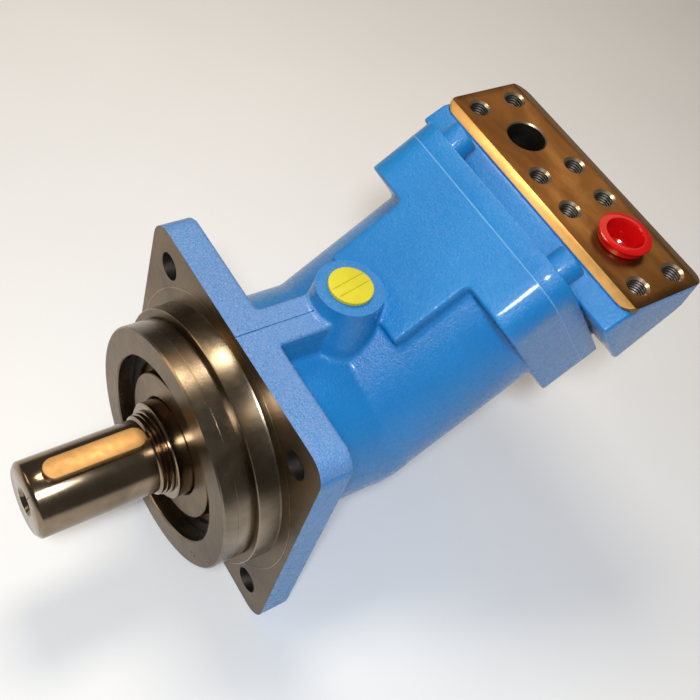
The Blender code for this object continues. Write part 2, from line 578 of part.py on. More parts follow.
def build_pistons():
    """Ball seats in the drive flange, pistons with ball ends, and a piston ring on each."""
    rim = math.sqrt(SEAT_CAVITY_RADIUS ** 2 - SEAT_TOP ** 2)
    rim_angle = math.degrees(math.atan2(SEAT_TOP, rim))
    cup = arc(SEAT_CAVITY_RADIUS, -90, rim_angle, 6)
    cup[0] = (0, -SEAT_CAVITY_RADIUS)
    seat = cup + [(SEAT_RADIUS, SEAT_TOP), (SEAT_RADIUS, SEAT_BOTTOM), (0, SEAT_BOTTOM)]
    neck = 4.6 * MM
    neck_angle = 90 - math.degrees(math.asin(neck / PISTON_BALL_RADIUS))
    ball = arc(PISTON_BALL_RADIUS, neck_angle, -90, 6)
    ball[-1] = (0, -PISTON_BALL_RADIUS)
    head = PISTON_LENGTH
    piston = [(0, head + 4 * MM), (10.4 * MM, head + 4 * MM), (10.4 * MM, head + 1.2 * MM),
              (8.9 * MM, head + 1.2 * MM), (8.9 * MM, head - 1.2 * MM), (10.4 * MM, head - 1.2 * MM),
              (10.4 * MM, head - 4 * MM), (8 * MM, head - 6 * MM)] + ball
    ring = ring_profile(9.2 * MM, 10.7 * MM, head - 0.9 * MM, head + 0.9 * MM)
    for index in range(PISTON_COUNT):
        place = piston_place(index)
        seat_place = Matrix.Translation(place.translation) @ SHAFT_PLACE
        turned(f'ball_seat_{index + 1}', seat, COARSE, MOTOR_ORIGIN, BRONZE, seat_place)
        turned(f'piston_{index + 1}', piston, COARSE, MOTOR_ORIGIN, STEEL, place)
        turned(f'piston_ring_{index + 1}', ring, COARSE, MOTOR_ORIGIN, DARK_STEEL, place)


def build_plugs():
    """Transport plug in the top drain, steel plug in the bottom drain, and the cap in port B."""
    drain_place = Matrix.Translation((DRAIN_X, 0, 0))
    top = DRAIN_BOSS_TOP + GAP
    upper = [(0, top + 2.2 * MM), (14.7 * MM, top + 2.2 * MM), (14.7 * MM, top), (10 * MM, top),
             (9.6 * MM, 92 * MM), (0, 92 * MM)]
    turned('drain_plug_top', upper, MEDIUM, MOTOR_ORIGIN, YELLOW_PLASTIC, drain_place)
    bottom = DRAIN_BOSS_BOTTOM - GAP
    lower = [(0, -68 * MM), (10 * MM, -68 * MM), (10 * MM, bottom), (14 * MM, bottom),
             (14 * MM, bottom - 3.7 * MM), (0, bottom - 3.7 * MM)]
    plug = turned('drain_plug_bottom', lower, MEDIUM, MOTOR_ORIGIN, STEEL, drain_place)
    plug_socket = cylinders('plug_socket', 5.5 * MM, (bottom - 5 * MM, bottom + 4 * MM), [(DRAIN_X, 0)],
                            MOTOR_ORIGIN, 6)
    cut(plug, plug_socket)
    seat = PORT_FACE_Z + GAP
    cap = [(0, 130.5 * MM), (11.5 * MM, 130.5 * MM), (11.5 * MM, 147.5 * MM), (18 * MM, 147.5 * MM),
           (18 * MM, 145.5 * MM), (16.3 * MM, 145 * MM), (16.3 * MM, seat), (13.1 * MM, seat),
           (13.1 * MM, 128 * MM), (0, 128 * MM)]
    turned('port_b_cap', cap, MEDIUM, MOTOR_ORIGIN, RED_PLASTIC, Matrix.Translation((PORT_X, -PORT_Y, 0)))


build_housing()
build_port_plate()
build_screws()
build_shaft()
build_key()
build_bearing('front', (-8 * MM, 13 * MM), True)
build_bearing('rear', (17 * MM, 38 * MM), False)
build_seal_group()
build_block()
build_valve_plate()
build_centre_pin()
build_pistons()
build_plugs()
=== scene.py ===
"""Looks of the bent-axis hydraulic motor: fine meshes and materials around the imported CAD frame."""
import math

import bmesh
import bpy
from mathutils import Matrix, Vector


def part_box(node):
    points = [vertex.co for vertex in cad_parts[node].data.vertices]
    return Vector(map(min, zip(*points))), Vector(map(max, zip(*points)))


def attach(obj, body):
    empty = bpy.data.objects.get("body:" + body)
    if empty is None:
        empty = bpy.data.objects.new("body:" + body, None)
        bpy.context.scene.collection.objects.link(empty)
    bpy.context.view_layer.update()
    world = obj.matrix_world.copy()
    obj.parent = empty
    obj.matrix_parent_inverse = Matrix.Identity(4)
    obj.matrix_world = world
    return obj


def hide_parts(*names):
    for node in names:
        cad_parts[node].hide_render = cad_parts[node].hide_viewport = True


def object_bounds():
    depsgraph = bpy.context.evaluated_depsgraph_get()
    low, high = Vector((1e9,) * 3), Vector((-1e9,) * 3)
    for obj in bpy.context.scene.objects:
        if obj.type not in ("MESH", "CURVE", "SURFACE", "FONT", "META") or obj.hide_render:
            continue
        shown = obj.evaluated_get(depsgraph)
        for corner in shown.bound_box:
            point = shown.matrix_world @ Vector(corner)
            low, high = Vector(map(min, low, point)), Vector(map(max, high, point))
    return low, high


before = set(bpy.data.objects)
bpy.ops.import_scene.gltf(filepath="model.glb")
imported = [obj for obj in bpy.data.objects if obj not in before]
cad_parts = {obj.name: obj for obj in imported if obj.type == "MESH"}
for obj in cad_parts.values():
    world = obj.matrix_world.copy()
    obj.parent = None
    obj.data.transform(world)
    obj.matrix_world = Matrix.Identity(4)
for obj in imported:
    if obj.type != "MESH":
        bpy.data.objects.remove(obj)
CAD_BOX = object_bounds()

MM = 0.001
ROUND = 96
HALF_TURN = math.pi

# Places taken from the frame
LOW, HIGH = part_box("motor_housing")
FLANGE_HALF = HIGH.y
NOSE_FRONT = LOW.x
SHAFT_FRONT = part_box("drive_shaft")[0].x
KEY_LOW, KEY_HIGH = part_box("shaft_key")
CAP_LOW, CAP_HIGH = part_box("port_b_cap")
PORT_X = (CAP_LOW.x + CAP_HIGH.x) / 2
PORT_Y = -(CAP_LOW.y + CAP_HIGH.y) / 2
DRAIN_LOW, DRAIN_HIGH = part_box("drain_plug_top")
DRAIN_X = (DRAIN_LOW.x + DRAIN_HIGH.x) / 2
PLATE_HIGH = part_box("port_plate")[1]
BLOCK_HALF = PLATE_HIGH.y
BLOCK_BACK = PLATE_HIGH.x
PORT_FACE = CAP_HIGH.z - 7 * MM

# Sizes of the housing
BEND = math.radians(40)
BEND_X = 95 * MM
FLANGE_THICKNESS = 21.5 * MM
BODY_RADIUS = 73.5 * MM
PILOT_RADIUS = 84 * MM
PILOT_FRONT = -14.6 * MM
NOSE_RADIUS = 78.5 * MM
NOSE_BORE = 60.5 * MM
CAVITY = 60 * MM
BARREL_END = 141 * MM
PLATE_BACK = 154.5 * MM
REAR_START = 109 * MM
REAR_HALF = 76 * MM
REAR_CORNER = 22 * MM
SCREW_PITCH = 55 * MM
HOLE_PITCH = 75.3 * MM
BOSS_TOP = 109 * MM
BOSS_BOTTOM = -86 * MM

X_AXIS = Matrix.Rotation(HALF_TURN / 2, 4, "Y")
BARREL = Matrix.Translation((BEND_X, 0, 0)) @ Matrix.Rotation(HALF_TURN / 2 - BEND, 4, "Y")
SECTION = Matrix.Rotation(HALF_TURN / 2, 4, "X")
UPRIGHT = Matrix()

# Limits for telling the faces of one mesh apart
SKIN = 0.02 * MM
FACING = 0.9


# ---------------------------------------------------------------- materials

class Nodes:
    """Short helper around one material's node tree."""

    def __init__(self, name):
        self.material = bpy.data.materials.new(name)
        self.material.use_nodes = True
        self.tree = self.material.node_tree
        self.shader = self.tree.nodes["Principled BSDF"]
        self.place = self.add("ShaderNodeTexCoord").outputs["Object"]

    def add(self, kind, **settings):
        node = self.tree.nodes.new(kind)
        for key, value in settings.items():
            setattr(node, key, value)
        return node

    def link(self, source, target):
        self.tree.links.new(source, target)

    def noise(self, scale, detail=3.0, roughness=0.5, stretch=None, distortion=0.0):
        node = self.add("ShaderNodeTexNoise")
        node.inputs["Scale"].default_value = scale
        node.inputs["Detail"].default_value = detail
        node.inputs["Roughness"].default_value = roughness
        node.inputs["Distortion"].default_value = distortion
        source = self.place
        if stretch:
            mapping = self.add("ShaderNodeMapping")
            mapping.inputs["Scale"].default_value = stretch
            self.link(self.place, mapping.inputs["Vector"])
            source = mapping.outputs["Vector"]
        self.link(source, node.inputs["Vector"])
        return node.outputs["Fac"]

    def wave(self, scale, kind="BANDS", direction="X", distortion=0.6):
        node = self.add("ShaderNodeTexWave", wave_type=kind)
        if kind == "BANDS":
            node.bands_direction = direction
        else:
            node.rings_direction = direction
        node.inputs["Scale"].default_value = scale
        node.inputs["Distortion"].default_value = distortion
        node.inputs["Detail"].default_value = 2.0
        self.link(self.place, node.inputs["Vector"])
        return node.outputs["Fac"]

    def ramp(self, source, stops):
        node = self.add("ShaderNodeValToRGB")
        elements = node.color_ramp.elements
        while len(elements) < len(stops):
            elements.new(0.5)
        for element, (position, colour) in zip(elements, stops):
            element.position = position
            element.color = (*colour, 1)
        self.link(source, node.inputs["Fac"])
        return node.outputs["Color"]

    def remap(self, source, low, high, from_low=0.0, from_high=1.0):
        node = self.add("ShaderNodeMapRange")
        node.inputs["From Min"].default_value = from_low
        node.inputs["From Max"].default_value = from_high
        node.inputs["To Min"].default_value = low
        node.inputs["To Max"].default_value = high
        self.link(source, node.inputs["Value"])
        return node.outputs["Result"]

    def math(self, operation, first, second=None):
        node = self.add("ShaderNodeMath", operation=operation)
        for socket, value in zip(node.inputs, (first, second)):
            if value is None:
                continue
            if isinstance(value, (int, float)):
                socket.default_value = value
            else:
                self.link(value, socket)
        return node.outputs["Value"]

    def mix(self, factor, first, second):
        node = self.add("ShaderNodeMix", data_type="RGBA")
        for socket, value in zip((node.inputs[0], node.inputs[6], node.inputs[7]), (factor, first, second)):
            if isinstance(value, (int, float)):
                socket.default_value = value
            elif isinstance(value, tuple):
                socket.default_value = (*value, 1)
            else:
                self.link(value, socket)
        return node.outputs[2]

    def bump(self, height, strength, distance, normal=None):
        node = self.add("ShaderNodeBump")
        node.inputs["Strength"].default_value = strength
        node.inputs["Distance"].default_value = distance
        self.link(height, node.inputs["Height"])
        if normal is not None:
            self.link(normal, node.inputs["Normal"])
        return node.outputs["Normal"]

    def finish(self, colour, metallic, roughness, normal=None, **sockets):
        sockets = {"Metallic": metallic, "Roughness": roughness, "Base Color": colour, **sockets}
        if normal is not None:
            sockets["Normal"] = normal
        for key, value in sockets.items():
            socket = self.shader.inputs[key]
            if isinstance(value, (int, float)):
                socket.default_value = value
            elif isinstance(value, tuple):
                socket.default_value = (*value, 1)
            else:
                self.link(value, socket)
        return self.material


def paint_material(name, grain, edge_highlight_tint=None, painted_sheen=0.0):
    """Blue enamel over a casting: grain is how much of the cast surface shows through.

    The edge tint mixes in a lighter blue: painted highlight along a raised edge that catches the light. The
    sheen amount sets how many pale lavender specks are painted on: painted sheen, the glare of light on rough
    paint."""
    n = Nodes(name)
    broad = n.noise(14, 4)
    colour = n.ramp(broad, [(0.3, (0.006, 0.165, 0.47)), (0.7, (0.012, 0.20, 0.53))])
    specks = n.ramp(n.noise(900, 2), [(0.68, (0, 0, 0)), (0.74, (1, 1, 1))])
    colour = n.mix(n.math("MULTIPLY", specks, 0.35), colour, (0.006, 0.12, 0.40))
    # A lighter blue mixed in: painted highlight along a raised edge.
    if edge_highlight_tint:
        colour = n.mix(n.remap(n.noise(300, 3), 0.5, 1.0), colour, edge_highlight_tint)
    # Pale lavender specks mixed into the colour: painted sheen, the glare of light on rough cast paint.
    if painted_sheen:
        sheen_specks = n.ramp(n.noise(1100, 4, 0.7), [(0.36, (0, 0, 0)), (0.68, (1, 1, 1))])
        colour = n.mix(n.math("MULTIPLY", sheen_specks, painted_sheen), colour, (0.40, 0.42, 0.58))
    roughness = n.remap(n.noise(160, 3), 0.2, 0.34)
    peel = n.bump(n.noise(420, 2, 0.5), 0.35, 0.35 * MM)
    rough = n.bump(n.noise(760, 3, 0.65), grain, 0.8 * MM, peel)
    gloss = {"Coat Weight": 0.2, "Coat Roughness": 0.12, "Specular IOR Level": 0.4}
    return n.finish(colour, 0.0, roughness, rough, **gloss)


def turned_material(name, colour, roughness=0.24, marks=0.5, dark=0.6):
    """Turned metal with fine tool marks round the shaft axis."""
    n = Nodes(name)
    along = n.wave(900, "BANDS", "X", 1.5)
    around = n.wave(620, "RINGS", "X", 1.2)
    marks_height = n.math("ADD", along, around)
    stain = n.noise(30, 5, 0.6, distortion=0.5)
    base = n.mix(n.remap(stain, 0.0, 1.0, 0.35, 0.7), colour, tuple(c * dark for c in colour))
    rough = n.remap(n.noise(220, 3), roughness * 0.8, roughness * 1.3)
    normal = n.bump(marks_height, marks * 0.2, 0.06 * MM)
    return n.finish(base, 1.0, rough, normal)


def port_face_material():
    """Face-milled bare iron, a little oily, with wide curved cutter marks; its warm golden brown is painted
    reflection of warm surroundings, in blotches that vary at random.
    """
    n = Nodes("milled_iron")
    cloud = n.noise(26, 5, 0.6, stretch=(1.0, 0.45, 1.0), distortion=0.8)
    dull, middle, golden = (0.13, 0.062, 0.02), (0.25, 0.13, 0.045), (0.42, 0.24, 0.09)
    base = n.ramp(cloud, [(0.3, dull), (0.55, middle), (0.75, golden)])
    strokes = n.noise(1.0, 3, 0.6, stretch=(1500, 90, 90))
    arcs = n.wave(240, "RINGS", "Z", 2.0)
    height = n.math("ADD", strokes, n.math("MULTIPLY", arcs, 0.5))
    rough = n.remap(n.noise(60, 4), 0.26, 0.44)
    return n.finish(base, 1.0, rough, n.bump(height, 0.12, 0.08 * MM))


def plastic_material(name, colour, shade, roughness, bump, subsurface):
    n = Nodes(name)
    base = n.mix(n.remap(n.noise(60, 4), 0.0, 1.0, 0.4, 0.7), colour, shade)
    rough = n.remap(n.noise(300, 3), roughness * 0.8, roughness * 1.25)
    normal = n.bump(n.noise(500, 3), bump, 0.15 * MM)
    return n.finish(base, 0.0, rough, normal, **{"Subsurface Weight": subsurface, "Subsurface Scale": 3 * MM})


def dark_material(name, colour, roughness, metallic):
    n = Nodes(name)
    base = n.ramp(n.noise(120, 4), [(0.3, colour), (0.7, tuple(c * 1.9 for c in colour))])
    rough = n.remap(n.noise(300, 3), roughness * 0.8, roughness * 1.2)
    return n.finish(base, metallic, rough, n.bump(n.noise(900, 3), 0.15, 0.1 * MM))


PAINT = paint_material("blue_paint", 0.7)
# Cast paint: a rougher cast grain, plus pale specks that are painted sheen.
CAST_PAINT = paint_material("rough_cast_blue_paint_with_painted_sheen", 0.9, painted_sheen=0.5)
# The warm gold-brown base colours of the bare irons and steels in the next lines stand in for reflections of
# warm surroundings: painted reflection on metal that is grey itself.
STEEL = turned_material("turned_iron", (0.30, 0.245, 0.18), 0.24, 0.9, 0.45)
FACE_STEEL = turned_material("faced_iron", (0.17, 0.115, 0.06), 0.3, 0.9, 0.55)
SHAFT_STEEL = turned_material("ground_shaft_steel", (0.33, 0.25, 0.17), 0.16, 0.3, 0.55)
KEY_STEEL = turned_material("drawn_key_steel", (0.40, 0.24, 0.095), 0.4, 0.3, 0.8)
COVER_STEEL = turned_material("turned_cover_steel", (0.19, 0.125, 0.06), 0.3, 0.9, 0.55)
PORT_IRON = port_face_material()
BRIGHT_IRON = turned_material("fresh_cut_iron", (0.62, 0.5, 0.36), 0.25, 0.3, 0.8)
# Bright golden iron for the chamfers round the port face: painted highlight, a lit copy of the milled iron.
CHAMFER_IRON_HIGHLIGHT = turned_material("milled_iron_chamfer_with_painted_highlight", (0.56, 0.33, 0.12), 0.36, 0.4, 0.7)
# Lighter blue for the joint bead: painted highlight along the raised edge.
HIGHLIGHT_EDGE_PAINT = paint_material("paint_with_painted_edge_highlight", 0.2, edge_highlight_tint=(0.16, 0.42, 0.72))
BORE_STEEL = dark_material("bored_iron", (0.10, 0.09, 0.08), 0.4, 1.0)
BLACK_STEEL = dark_material("blackened_steel", (0.02, 0.02, 0.02), 0.4, 0.9)
RUBBER = dark_material("black_rubber", (0.012, 0.012, 0.012), 0.55, 0.0)
BRONZE = turned_material("bearing_bronze", (0.55, 0.36, 0.14), 0.3, 0.5, 0.7)
RED = plastic_material("red_cap_plastic", (0.50, 0.003, 0.004), (0.40, 0.002, 0.003), 0.16, 0.08, 0.12)
YELLOW = plastic_material("yellow_plug_plastic", (0.54, 0.50, 0.012), (0.46, 0.42, 0.01), 0.38, 0.12, 0.1)


# ---------------------------------------------------------------- mesh tools

def put(name, mesh, place, material=None):
    item = bpy.data.objects.new(name, mesh)
    bpy.context.scene.collection.objects.link(item)
    item.matrix_world = place
    if material:
        mesh.materials.append(material)
    return item


def shade(mesh, sharp_angle):
    """Smooth shading, with every edge sharp that bends by more than the angle in degrees."""
    mesh.shade_smooth()
    mesh.set_sharp_from_angle(angle=math.radians(sharp_angle))


def from_bmesh(shape, name):
    mesh = bpy.data.meshes.new(name)
    shape.to_mesh(mesh)
    shape.free()
    shade(mesh, 32)
    return mesh


def settle(item, smooth=None):
    """Make the modifiers' result the object's own mesh, in world places."""
    bpy.context.view_layer.update()
    graph = bpy.context.evaluated_depsgraph_get()
    mesh = bpy.data.meshes.new_from_object(item.evaluated_get(graph))
    mesh.name = item.name
    mesh.transform(item.matrix_world)
    item.modifiers.clear()
    item.data = mesh
    item.matrix_world = Matrix()
    if smooth:
        shade(mesh, smooth)
    return item


def turned(name, profile, place=UPRIGHT, material=None, steps=ROUND):
    """Turn (radius, height) points about local Z; the outer side runs from the top down."""
    mesh = bpy.data.meshes.new(name)
    points = [(radius, 0, height) for radius, height in profile]
    edges = [(index, index + 1) for index in range(len(points) - 1)]
    if profile[0][0] > 0:
        edges.append((len(points) - 1, 0))
    mesh.from_pydata(points, edges, [])
    item = put(name, mesh, place, material)
    screw = item.modifiers.new("Turn", "SCREW")
    screw.axis = "Z"
    screw.angle = 2 * math.pi
    screw.steps = steps
    screw.render_steps = steps
    screw.use_merge_vertices = True
    screw.merge_threshold = 0.005 * MM
    return settle(item, 32)


def bars(name, radius, span, centres, place=UPRIGHT, segments=48, radius_top=None):
    """Round bars along local Z, one at each (x, y) centre, as one object."""
    shape = bmesh.new()
    for x, y in centres:
        bmesh.ops.create_cone(shape, cap_ends=True, segments=segments, radius1=radius,
                              radius2=radius_top or radius, depth=span[1] - span[0],
                              matrix=Matrix.Translation((x, y, (span[0] + span[1]) / 2)))
    return settle(put(name, from_bmesh(shape, name), place))


def box(name, low, high, place=UPRIGHT, corner=0.0, edge=0.0):
    """A box with rounded upright corners and, if wanted, small rounds on every edge."""
    shape = bmesh.new()
    size = Vector(high) - Vector(low)
    middle = (Vector(high) + Vector(low)) / 2
    bmesh.ops.create_cube(shape, size=1, matrix=Matrix.Translation(middle) @ Matrix.Diagonal((*size, 1)))
    if corner:
        upright = [e for e in shape.edges if abs(e.verts[0].co.z - e.verts[1].co.z) > 0.9 * size.z]
        bmesh.ops.bevel(shape, geom=upright, offset=corner, segments=10, profile=0.5, affect="EDGES")
    if edge:
        rims = [e for e in shape.edges if e.calc_face_angle(0) > math.radians(40)]
        bmesh.ops.bevel(shape, geom=rims, offset=edge, segments=3, profile=0.5, affect="EDGES")
    return settle(put(name, from_bmesh(shape, name), place))


def ball(name, radius, place):
    shape = bmesh.new()
    bmesh.ops.create_uvsphere(shape, u_segments=ROUND, v_segments=ROUND // 2, radius=radius)
    return settle(put(name, from_bmesh(shape, name), place))


def outline_solid(name, outline, span, place=UPRIGHT, material=None, edge=0.0):
    """A flat outline made solid along local Z, with its rims rounded by edge."""
    shape = bmesh.new()
    ring = [shape.verts.new((x, y, span[0])) for x, y in outline]
    face = shape.faces.new(ring)
    lifted = bmesh.ops.extrude_face_region(shape, geom=[face])
    for vertex in (v for v in lifted["geom"] if isinstance(v, bmesh.types.BMVert)):
        vertex.co.z = span[1]
    bmesh.ops.recalc_face_normals(shape, faces=shape.faces)
    if edge:
        rims = [e for e in shape.edges if e.calc_face_angle(0) > math.radians(25)]
        bmesh.ops.bevel(shape, geom=rims, offset=edge, segments=3, profile=0.5, affect="EDGES")
    return settle(put(name, from_bmesh(shape, name), place, material))


def arc(radius, start, end, steps, centre=(0.0, 0.0)):
    points = []
    for step in range(steps + 1):
        angle = math.radians(start + (end - start) * step / steps)
        points.append((centre[0] + radius * math.cos(angle), centre[1] + radius * math.sin(angle)))
    return points


def combine(target, operation, solver, *tools):
    for tool in tools:
        modifier = target.modifiers.new(tool.name, "BOOLEAN")
        modifier.operation = operation
        modifier.solver = solver
        modifier.object = tool
        settle(target)
        bpy.data.objects.remove(tool)
    return target


def join(target, *tools):
    return combine(target, "UNION", "EXACT", *tools)


def cut(target, *tools, solver="EXACT"):
    return combine(target, "DIFFERENCE", solver, *tools)


def round_edges(item, width, segments):
    """Round every clear edge of a solid."""
    rounding = item.modifiers.new("Edges", "BEVEL")
    rounding.width = width
    rounding.segments = segments
    rounding.limit_method = "ANGLE"
    rounding.angle_limit = math.radians(15)
    return settle(item)


def cast_surface(item, voxel, passes):
    """Give a joined shape the soft edges and fillets of a casting."""
    remesh = item.modifiers.new("Cast", "REMESH")
    remesh.mode = "VOXEL"
    remesh.voxel_size = voxel
    soften = item.modifiers.new("Soften", "SMOOTH")
    soften.factor = 0.5
    soften.iterations = passes
    return settle(item)


def four(pitch):
    return [(x, y) for x in (-pitch, pitch) for y in (-pitch, pitch)]


def thread_cutter(name, centres, top, depth, minor, major, pitch, place=UPRIGHT):
    """Round threaded holes: a chamfered mouth, then a groove for each turn of the thread."""
    turns = int(depth / pitch)
    profile = [(0, top + 1 * MM), (major + 0.9 * MM, top + 1 * MM), (major + 0.9 * MM, top),
               (minor, top - 1.3 * MM)]
    for turn in range(1, turns):
        level = top - 0.6 * MM - turn * pitch
        profile += [(minor, level + 0.3 * pitch), (major, level), (minor, level - 0.35 * pitch)]
    profile += [(minor, top - depth), (0, top - depth - 0.5 * minor)]
    first = turned(name, profile, place, steps=32)
    shape = bmesh.new()
    for x, y in centres:
        copy = first.data.copy()
        copy.transform(place @ Matrix.Translation((x, y, 0)) @ place.inverted())
        shape.from_mesh(copy)
    mesh = bpy.data.meshes.new(name)
    shape.to_mesh(mesh)
    shape.free()
    first.data = mesh
    return first


def dress(piece, body, node):
    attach(piece, body)
    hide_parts(node)


def set_materials(item, materials, choose):
    """Give every face the material that choose(centre, normal) names by its place in the list."""
    shape = bmesh.new()
    shape.from_mesh(item.data)
    bmesh.ops.triangulate(shape, faces=[face for face in shape.faces if len(face.verts) > 4])
    shape.to_mesh(item.data)
    shape.free()
    item.data.materials.clear()
    for material in materials:
        item.data.materials.append(material)
    for face in item.data.polygons:
        face.material_index = choose(face.center, face.normal)


# ---------------------------------------------------------------- pieces

def housing():
    """The casting: joined and softened as cast, then machined to crisp faces."""
    bolt_hole = 9 * MM
    drain_bore = 10.4 * MM
    boss_radius = 22 * MM
    rib_side = 88 * MM
    body = bars("motor_housing_casting", BODY_RADIUS, (10 * MM, BEND_X), [(0, 0)], X_AXIS, ROUND)
    flange = box("flange", (-FLANGE_HALF, -FLANGE_HALF, -8 * MM),
                 (FLANGE_HALF, FLANGE_HALF, FLANGE_THICKNESS), X_AXIS, 14.5 * MM)
    elbow = ball("elbow", 74 * MM, Matrix.Translation((BEND_X, 0, 0)) @ SECTION)
    barrel = bars("barrel", BODY_RADIUS, (0, 130 * MM), [(0, 0)], BARREL, ROUND)
    rear = box("rear", (-REAR_HALF, -REAR_HALF, REAR_START), (REAR_HALF, REAR_HALF, BARREL_END + 8 * MM),
               BARREL, REAR_CORNER)
    pad = box("pad", (-REAR_HALF, -36 * MM, 54.5 * MM), (-60 * MM, 36 * MM, 125 * MM), BARREL, 0.0)
    rib = box("rib", (10 * MM, -13.5 * MM, 66 * MM), (DRAIN_X, 13.5 * MM, FLANGE_HALF - 0.2 * MM))
    boss = turned("boss", [(0, BOSS_TOP + 6 * MM), (21 * MM, BOSS_TOP + 6 * MM),
                           (21.5 * MM, BOSS_TOP - 6 * MM), (24 * MM, 80 * MM), (25 * MM, 50 * MM),
                           (0, 50 * MM)], Matrix.Translation((DRAIN_X, 0, 0)))
    lower = turned("lower", [(0, -50 * MM), (23 * MM, -50 * MM), (20 * MM, BOSS_BOTTOM - 6 * MM),
                             (0, BOSS_BOTTOM - 6 * MM)], Matrix.Translation((DRAIN_X, 0, 0)))
    join(body, flange, elbow, barrel, rear, pad, rib, boss, lower)
    cast_surface(body, 1.4 * MM, 5)
    cavity = bars("cavity", CAVITY + 0.5 * MM, (38.5 * MM, BEND_X), [(0, 0)], X_AXIS, ROUND)
    elbow_cavity = ball("elbow_cavity", CAVITY + 0.8 * MM, Matrix.Translation((BEND_X, 0, 0)) @ SECTION)
    barrel_cavity = bars("barrel_cavity", CAVITY, (0, BARREL_END + 2 * MM), [(0, 0)], BARREL, ROUND)
    far = 150 * MM
    front = box("front_face", (-60 * MM, -far, -far), (0, far, far))
    back = box("back_face", (-far, -far, BARREL_END), (far, far, BARREL_END + 40 * MM), BARREL)
    boss_face = bars("boss_face", 30 * MM, (BOSS_TOP, BOSS_TOP + 20 * MM), [(DRAIN_X, 0)])
    low_face = bars("low_face", 30 * MM, (BOSS_BOTTOM - 20 * MM, BOSS_BOTTOM), [(DRAIN_X, 0)])
    nose_bore = bars("nose_bore", NOSE_BORE, (-1 * MM, 45 * MM), [(0, 0)], X_AXIS, ROUND)
    holes = bars("flange_holes", bolt_hole, (-2 * MM, FLANGE_THICKNESS + 2 * MM), four(HOLE_PITCH), X_AXIS)
    spots = bars("spot_faces", 15.5 * MM, (FLANGE_THICKNESS - 0.4 * MM, FLANGE_THICKNESS + 3 * MM),
                 four(HOLE_PITCH), X_AXIS)
    screws = bars("screw_holes", 8.3 * MM, (112 * MM, BARREL_END + 2 * MM), four(SCREW_PITCH), BARREL)
    drains = bars("drain_hole", drain_bore, (BOSS_BOTTOM - 1 * MM, BOSS_TOP + 1 * MM), [(DRAIN_X, 0)])
    split = box("mould_line", (-1 * MM, -0.45 * MM, FLANGE_HALF - 0.9 * MM),
                (DRAIN_X - 21 * MM, 0.45 * MM, FLANGE_HALF + 1 * MM))
    cut(body, front, back, boss_face, low_face, nose_bore, cavity, elbow_cavity, barrel_cavity, holes, spots,
        screws, drains, split, solver="MANIFOLD")
    barrel_line = Vector((math.cos(BEND), 0, math.sin(BEND)))
    painted, rough_cast_with_painted_sheen, faced, bored = range(4)

    def choose(centre, normal):
        from_elbow = centre - Vector((BEND_X, 0, 0))
        reach = from_elbow.dot(barrel_line)
        if centre.x < SKIN and normal.x < -FACING:
            return faced
        if reach > BARREL_END - SKIN and normal.dot(barrel_line) > FACING:
            return bored
        around_drain = math.hypot(centre.x - DRAIN_X, centre.y)
        if around_drain < drain_bore + 0.4 * MM and BOSS_BOTTOM + SKIN < centre.z < BOSS_TOP - SKIN:
            return bored
        around_hole = math.hypot(abs(centre.y) - HOLE_PITCH, abs(centre.z) - HOLE_PITCH)
        if around_hole < bolt_hole + 0.2 * MM and centre.x < FLANGE_THICKNESS:
            return bored
        from_barrel = (centre - Vector((BEND_X, 0, 0)) - reach * barrel_line).length
        near_shaft = math.hypot(centre.y, centre.z)
        cavity_wall = CAVITY + 0.9 * MM
        in_front_cavity = near_shaft < cavity_wall and centre.x < BEND_X
        in_barrel_cavity = from_barrel < cavity_wall and reach > 0
        if in_front_cavity or in_barrel_cavity or from_elbow.length < CAVITY + 1.2 * MM:
            return bored
        # Upward faces of the rib take the cast paint with its painted sheen, so they are lighter on top
        # because of how the light falls.
        on_rib = centre.z > rib_side and around_drain > boss_radius and centre.x < DRAIN_X
        return rough_cast_with_painted_sheen if on_rib and normal.z > 0.4 else painted

    set_materials(body, (PAINT, CAST_PAINT, FACE_STEEL, BORE_STEEL), choose)
    shade(body.data, 40)
    dress(body, "housing", "motor_housing")


def nose():
    """The two turned lands in front of the flange and the ring scribed on its face."""
    edge = 0.6 * MM
    line = -25 * MM
    profile = [(NOSE_BORE, 0), (PILOT_RADIUS + 0.6 * MM, 0), (PILOT_RADIUS, -1.4 * MM),
               (PILOT_RADIUS, PILOT_FRONT + edge), (PILOT_RADIUS - edge, PILOT_FRONT),
               (NOSE_RADIUS - 1.3 * MM, PILOT_FRONT), (NOSE_RADIUS - 1.3 * MM, PILOT_FRONT - 1.6 * MM),
               (NOSE_RADIUS, PILOT_FRONT - 2 * MM), (NOSE_RADIUS, line + 0.25 * MM),
               (NOSE_RADIUS - 0.25 * MM, line), (NOSE_RADIUS, line - 0.25 * MM),
               (NOSE_RADIUS, NOSE_FRONT + 1 * MM), (NOSE_RADIUS - 1 * MM, NOSE_FRONT),
               (NOSE_BORE + 0.8 * MM, NOSE_FRONT), (NOSE_BORE, NOSE_FRONT + 0.8 * MM),
               (NOSE_BORE, -22.8 * MM), (63.5 * MM, -22.8 * MM), (63.5 * MM, -19.6 * MM),
               (NOSE_BORE, -19.6 * MM)]
    item = turned("motor_housing_nose", profile, X_AXIS, STEEL, 160)
    dots = bars("punch_dots", 0.7 * MM, (NOSE_FRONT - 1 * MM, NOSE_FRONT + 0.8 * MM),
                [(42 * MM, -57 * MM), (43 * MM, -53.5 * MM)], X_AXIS, 16)
    cut(item, dots)
    set_materials(item, (STEEL, FACE_STEEL), lambda centre, normal: 1 if normal.x < -FACING else 0)
    shade(item.data, 32)
    dress(item, "housing", "motor_housing")
    ring = turned("flange_face_ring", [(93.6 * MM, 0.3 * MM), (93.6 * MM, -0.12 * MM),
                                       (93.0 * MM, -0.12 * MM), (93.0 * MM, 0.3 * MM)], X_AXIS, STEEL, 160)
    dress(ring, "housing", "motor_housing")


